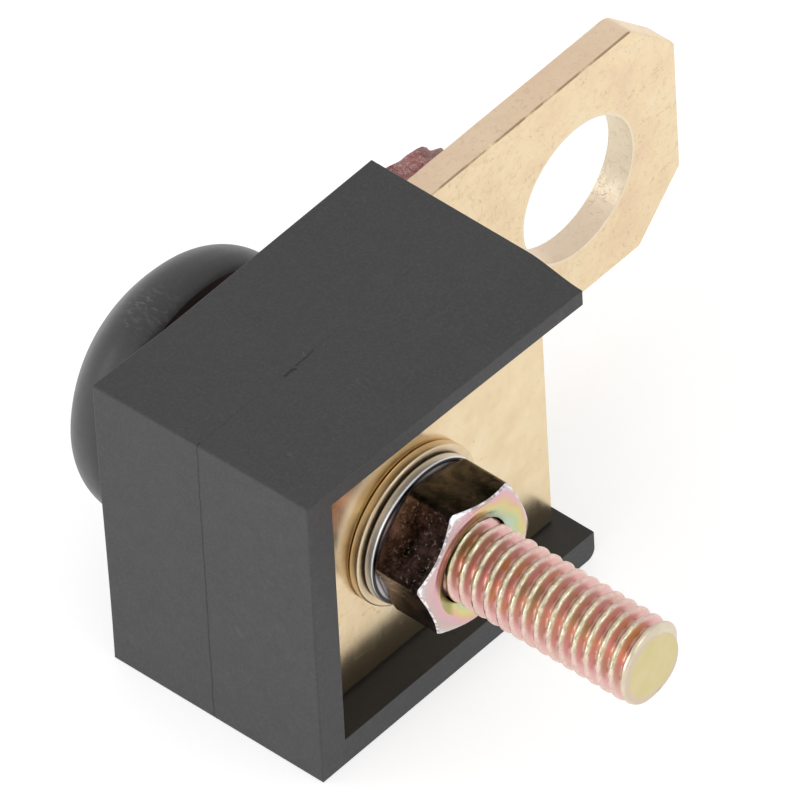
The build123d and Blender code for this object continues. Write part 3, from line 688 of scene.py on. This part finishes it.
def make_fibre():
    """The fibre sheet, torn ragged where it comes out past the housing."""
    made = copy_of("fibre_insulator")
    slice_mesh(made, 0, spaced(housing_high.x - 0.5 * MM, fibre_high.x, 14))
    slice_mesh(made, 2, spaced(fibre_low.z, fibre_high.z, 52))
    slice_mesh(made, 1, spaced(fibre_low.y, fibre_high.y, 5))
    reach = fibre_high.x - housing_high.x
    for vertex in made.verts:
        co = vertex.co
        share = (co.x - housing_high.x) / reach
        if share <= 0:
            continue
        tear = 0.55 * abs(noise.noise(Vector((0.4, co.y * 300, co.z * 330)))) * 2
        tear += 0.45 * abs(noise.noise(Vector((2.2, co.y * 900, co.z * 1100)))) * 2
        slant = min(1.0, max(0.0, 1 - (fibre_high.z - co.z) / (2.9 * MM)))
        co.x -= TEAR_DEPTH * min(1.0, tear) * share ** 2 + TEAR_SLANT * slant * share
        top = smooth_step((co.z - (fibre_high.z - 4 * MM)) / (4 * MM))
        co.z -= share * top * MM * (0.5 + 1.1 * abs(noise.noise(Vector((co.x * 500, co.y * 500,
                                                                        1.7)))))
        rough = noise.noise(Vector((co.x * 1200, 5.5, co.z * 1200)))
        if co.y > (fibre_low.y + fibre_high.y) / 2:
            co.y -= 0.22 * MM * share * abs(rough)
    return put("fibre_sheet", made, materials["red_fibre"], "body", ["fibre_insulator"],
               sharp=50.0)


# ---------------------------------------------------------------- stud
STUD_STEPS_AROUND = 96
STUD_STEPS_A_PITCH = 14
STUD_END_BEVEL = 0.5 * MM
STUD_HEAD_HEIGHT = 3.6 * MM
STUD_NECK_R = 3.8 * MM
HEX_HALF = 6.35 * MM
HEX_ROUND = 0.35 * MM


def thread_radius(y, angle):
    """Radius of a right-handed 60 degree thread, with a flat crest and a rounded root."""
    phase = (y / THREAD_PITCH + angle / (2 * math.pi)) % 1.0
    apart = min(phase, 1 - phase)
    share = smooth_step((apart - 0.07) / 0.34) * 0.35 + min(1.0,
                                                            max(0.0, (apart - 0.07) / 0.34)) * 0.65
    return THREAD_CREST_R + (THREAD_ROOT_R - THREAD_CREST_R) * share


def hex_radius(angle, half=HEX_HALF, rounding=HEX_ROUND):
    """Radius of a hexagon with slightly rounded corners."""
    turned = (angle - math.radians(NUT_CORNER_ANGLE)) % math.radians(60) - math.radians(30)
    flat = half / math.cos(turned)
    corner = half / math.cos(math.radians(30)) - rounding * 0.35
    blend = 0.12 * rounding
    apart = corner - flat
    return (flat + corner - math.sqrt(apart * apart + blend * blend)) / 2


def make_stud():
    made = bmesh.new()
    angles = [2 * math.pi * step / STUD_STEPS_AROUND for step in range(STUD_STEPS_AROUND)]
    rows = []
    back = stud_high.y
    head_front = back - STUD_HEAD_HEIGHT
    for y, shrink in ((back, 0.3 * MM), (back - 0.2 * MM, 0), (head_front, 0)):
        rows.append(ring_of(made, [on_axis(hex_radius(a) - shrink, a, y) for a in angles]))
    rows.append(ring_of(made, [on_axis(STUD_NECK_R, a, head_front) for a in angles]))
    rows.append(ring_of(made, [on_axis(STUD_NECK_R, a, plate_low.y) for a in angles]))
    start, end = plate_low.y - 0.05 * MM, stud_low.y
    count = int((start - end) / THREAD_PITCH * STUD_STEPS_A_PITCH)
    for step in range(count + 1):
        y = start + (end - start) * step / count
        to_end = y - end
        run_in = smooth_step((start - y) / THREAD_PITCH)
        over = max(0.0, 1 - to_end / STUD_END_BEVEL)
        limit = THREAD_CREST_R - STUD_END_BEVEL * (1 - math.sqrt(1 - over * over))
        ring = []
        for a in angles:
            radius = STUD_NECK_R + (thread_radius(y, a) - STUD_NECK_R) * run_in
            ring.append(on_axis(min(radius, limit), a, y))
        rows.append(ring_of(made, ring))
    face_r = THREAD_CREST_R - STUD_END_BEVEL
    for share in (0.82, 0.6, 0.35, 0.15):
        rows.append(ring_of(made, [on_axis(face_r * share, a, end) for a in angles]))
    for first, second in zip(rows, rows[1:]):
        bridge(made, first, second)
    made.faces.new(rows[-1])
    made.faces.new(list(reversed(rows[0])))
    return put("stud_threaded", made, materials["stud"], "body", ["terminal_stud"],
               sharp=42.0)


# ---------------------------------------------------------------- nut
NUT_STEPS_AROUND = 288
NUT_FACE_R = 6.05 * MM
NUT_SLOPE = 0.62
NUT_BACK_SLOPE = 0.25
NUT_EDGE = 0.1 * MM
NUT_BORE_R = 4.12 * MM
NUT_SINK_R = 5.1 * MM
NUT_SINK_DEPTH = 0.5 * MM


def make_nut():
    """Hex nut, both ends turned to a cone, with a countersunk bore."""
    made = bmesh.new()
    angles = [2 * math.pi * step / NUT_STEPS_AROUND for step in range(NUT_STEPS_AROUND)]
    sink_back = nut_high.y - NUT_SINK_DEPTH
    sink_front = nut_low.y + NUT_SINK_DEPTH

    def half(end_y, inward, slope):
        """Rings from a face's countersink out to the flats."""
        rings = [
            [on_axis(NUT_SINK_R - 0.12 * MM, a, end_y + inward * 0.09 * MM) for a in angles],
            [on_axis(NUT_SINK_R, a, end_y + inward * 0.03 * MM) for a in angles],
            [on_axis(NUT_SINK_R + 0.12 * MM, a, end_y) for a in angles],
            [on_axis(NUT_FACE_R - 0.15 * MM, a, end_y) for a in angles],
            [on_axis(NUT_FACE_R, a, end_y + inward * 0.03 * MM) for a in angles],
        ]
        for share in (0.3, 0.65, 1.0):
            ring = []
            for a in angles:
                reach = hex_radius(a) - NUT_EDGE - NUT_FACE_R
                drop = 0.03 * MM + slope * reach * share
                ring.append(on_axis(NUT_FACE_R + reach * share, a, end_y + inward * drop))
            rings.append(ring)
        soft = []
        for a in angles:
            full = hex_radius(a)
            drop = 0.03 * MM + slope * (full - NUT_EDGE - NUT_FACE_R) + 1.3 * NUT_EDGE
            soft.append(on_axis(full, a, end_y + inward * drop))
        rings.append(soft)
        return rings

    front = half(nut_low.y, 1, NUT_SLOPE)
    back = half(nut_high.y, -1, NUT_BACK_SLOPE)
    outline = [[on_axis(NUT_BORE_R, a, sink_back) for a in angles]]
    outline += [[on_axis(NUT_BORE_R, a, sink_front) for a in angles]]
    outline += front + list(reversed(back))
    rows = [ring_of(made, ring) for ring in outline]
    for first, second in zip(rows, rows[1:]):
        bridge(made, first, second)
    bridge(made, rows[-1], rows[0])
    return put("nut_hex", made, materials["nut"], "nut", ["terminal_nut"],
               sharp=26.0)


# ---------------------------------------------------------------- knob
KNOB_STEPS = 160
KNOB_LIP = 0.8 * MM
KNOB_WIDEST = 2.6 * MM
KNOB_RIM_TURN = math.radians(45)
KNOB_SHOULDER_R = 4.9 * MM
KNOB_SHELL = 2.2 * MM
KNOB_HUB_R = 9.2 * MM
KNOB_HOLLOW = 4.2 * MM
KNOB_RUNOUT = Vector((0.38, 0, 0.28)) * MM


def arc(centre, radius, start, end, count):
    """Points of an arc, as (radius from the axis, y)."""
    steps = [start + (end - start) * step / count for step in range(count + 1)]
    return [(centre[0] + radius * math.cos(a), centre[1] + radius * math.sin(a)) for a in steps]


def make_knob():
    """The knob's smooth shell, turned from one outline, a little off its screw's axis."""
    outer = (knob_high.x - knob_low.x) / 2
    hub_y, tip_y = knob_low.y, knob_high.y
    rim_y = hub_y + KNOB_LIP
    widest_y = hub_y + KNOB_WIDEST
    rim_round = (widest_y - rim_y) / math.sin(KNOB_RIM_TURN)
    dome = tip_y - widest_y
    crown_r = (outer**2 + dome**2 - 2 * outer * KNOB_SHOULDER_R) / (2 * (dome - KNOB_SHOULDER_R))
    shoulder_x = outer - KNOB_SHOULDER_R
    join = math.atan2(crown_r - dome, shoulder_x)
    outline = [(0.3 * MM, hub_y), (KNOB_HUB_R, hub_y), (KNOB_HUB_R, hub_y + KNOB_HOLLOW),
               (outer - KNOB_SHELL, hub_y + KNOB_HOLLOW), (outer - KNOB_SHELL, rim_y)]
    outline += arc((outer - rim_round, widest_y), rim_round, -KNOB_RIM_TURN, 0, 10)
    outline += arc((shoulder_x, widest_y), KNOB_SHOULDER_R, 0, join, 14)[1:]
    outline += arc((0, tip_y - crown_r), crown_r, join, math.pi / 2, 18)[1:-1]
    made = bmesh.new()
    angles = [2 * math.pi * step / KNOB_STEPS for step in range(KNOB_STEPS)]
    rows = [ring_of(made, [on_axis(radius, a, y) + KNOB_RUNOUT for a in angles]) for radius,
            y in outline]
    for first, second in zip(rows, rows[1:]):
        bridge(made, first, second)
    made.faces.new(rows[-1])
    made.faces.new(list(reversed(rows[0])))
    return put("knob_shell", made, materials["black_knob"], "knob", ["knob"],
               sharp=40.0)


# ---------------------------------------------------------------- washers
WASHER_STEPS = 192
SPRING_GAP = 0.8 * MM
FLAT_WASHER_BORE_R = 4.35 * MM
FLAT_WASHER_ROUND = 0.22 * MM
SPRING_WASHER_BORE_R = 4.2 * MM
SPRING_WASHER_ROUND = 0.3 * MM
SPRING_LEAN = 35.0


def section(inner, outer, low, high, rounding):
    """A washer's section as (radius, y), with rounded corners."""
    points = []
    corners = ((outer, high, 0), (inner, high, 90), (inner, low, 180), (outer, low, 270))
    for radius, y, start in corners:
        centre_r = radius - rounding if start in (0, 270) else radius + rounding
        centre_y = y - rounding if start in (0, 90) else y + rounding
        for step in range(5):
            turn = math.radians(start + 22.5 * step)
            points.append((centre_r + rounding * math.cos(turn),
                           centre_y + rounding * math.sin(turn)))
    return points


def make_flat_washer():
    outer = (washer_high.x - washer_low.x) / 2
    outline = section(FLAT_WASHER_BORE_R, outer, washer_low.y, washer_high.y, FLAT_WASHER_ROUND)
    made = bmesh.new()
    angles = [2 * math.pi * step / WASHER_STEPS for step in range(WASHER_STEPS)]
    rows = [ring_of(made, [on_axis(radius, a, y) for a in angles]) for radius, y in outline]
    for first, second in zip(rows, rows[1:] + rows[:1]):
        bridge(made, first, second)
    return put("washer_disc", made, materials["washer_zinc"], "washers", ["flat_washer"])


def make_spring_washer():
    """A flat split ring whose two ends lean, as it lies when the nut is tight."""
    low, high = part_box("spring_washer")
    outer = (high.x - low.x) / 2
    outline = section(SPRING_WASHER_BORE_R, outer, low.y, high.y, SPRING_WASHER_ROUND)
    middle = (low.y + high.y) / 2
    made = bmesh.new()
    gap = SPRING_GAP / outer
    lean = math.tan(math.radians(SPRING_LEAN))
    rings = []
    for step in range(WASHER_STEPS + 1):
        share = step / WASHER_STEPS
        turn = math.radians(-90) + gap / 2 + (2 * math.pi - gap) * share
        ring = []
        for radius, y in outline:
            slant = (y - middle) * lean / outer
            ring.append(on_axis(radius, turn + slant, y))
        rings.append(ring_of(made, ring))
    for first, second in zip(rings, rings[1:]):
        bridge(made, first, second)
    made.faces.new(rings[-1])
    made.faces.new(list(reversed(rings[0])))
    return put("washer_spring", made, materials["spring_washer"], "washers", ["spring_washer"])


make_housing()
make_blade()
make_fibre()
make_stud()
make_nut()
make_knob()
make_flat_washer()
make_spring_washer()

# CAD nodes that keep their shape exactly. Each one only gets a finish.
KEPT = {
    "contact_plate": "plate_brass",
    "blade_bush": "machined_brass",
    "knob_screw": "machined_brass",
    "moving_contact": "contact_silver",
    "fixed_contact": "contact_silver",
    "retaining_clip": "spring_steel",
    "seal_washer": "black_rubber",
    "blade_screws": "screw_steel",
    "plate_screws": "screw_steel",
}
for node, finish in KEPT.items():
    kept = frame["nodes"][node]
    kept.data.materials.clear()
    kept.data.materials.append(materials[finish])


# ---------------------------------------------------------------- camera and stage
def add_camera():
    """A long lens from the front left and above, as far away as a product shot."""
    azimuth = math.radians(CAMERA_AZIMUTH)
    elevation = math.radians(CAMERA_ELEVATION)
    back = Vector((
        math.sin(azimuth) * math.cos(elevation),
        -math.cos(azimuth) * math.cos(elevation),
        math.sin(elevation),
    ))
    camera = bpy.data.objects.new("camera", bpy.data.cameras.new("camera"))
    bpy.context.scene.collection.objects.link(camera)
    turn = back.to_track_quat("Z", "Y").to_matrix().to_4x4()
    roll = Matrix.Rotation(math.radians(CAMERA_ROLL), 4, "Z")
    camera.matrix_world = Matrix.Translation(CAMERA_TARGET + back * CAMERA_DISTANCE) @ turn @ roll
    camera.data.sensor_width = SENSOR
    camera.data.lens = SENSOR * CAMERA_DISTANCE / VIEW_WIDTH
    camera.data.clip_end = 20.0
    bpy.context.scene.camera = camera


def add_light(name, place, size, watts):
    """A square soft box that faces the object."""
    light = bpy.data.lights.new(name, "AREA")
    light.size = size
    light.energy = watts
    lamp = bpy.data.objects.new(name, light)
    bpy.context.scene.collection.objects.link(lamp)
    place = Vector(place)
    aim = Vector((0, 0, housing_high.z / 2)) - place
    lamp.matrix_world = Matrix.Translation(place) @ aim.to_track_quat("-Z",
                                                                      "Y").to_matrix().to_4x4()


def add_stage():
    """A pale floor, a white surround and soft boxes."""
    shader = Shader("pale_floor")
    tone = shader.mix(shader.noise(0.02, 3.0), (0.48, 0.48, 0.48), (0.52, 0.52, 0.52))
    shader.surface.inputs["Emission Color"].default_value = (1, 1, 1, 1)
    shader.surface.inputs["Emission Strength"].default_value = 0.6
    floor_material = shader.finish(tone,
                                   shader.math("ADD", 0.8,
                                               shader.math("MULTIPLY", shader.noise(0.1), 0.1)))
    made = bmesh.new()
    bmesh.ops.create_grid(made, x_segments=1, y_segments=1, size=3.0)
    mesh = bpy.data.meshes.new("floor")
    made.to_mesh(mesh)
    made.free()
    mesh.materials.append(floor_material)
    floor = bpy.data.objects.new("floor", mesh)
    floor.location.z = -0.05 * MM
    bpy.context.scene.collection.objects.link(floor)
    world = bpy.data.worlds.new("studio")
    bpy.context.scene.world = world
    world.use_nodes = True
    world.node_tree.nodes["Background"].inputs["Color"].default_value = (1, 1, 1, 1)
    world.node_tree.nodes["Background"].inputs["Strength"].default_value = 0.84
    add_light("key", (-0.6, -0.1, 0.3), 0.35, 1.4)
    add_light("front", (0.1, -0.6, 0.3), 0.3, 0.4)
    add_light("rim", (-0.5, 0.55, 0.3), 0.3, 0.6)


add_camera()
add_stage()
bpy.context.scene.view_settings.view_transform = "Standard"
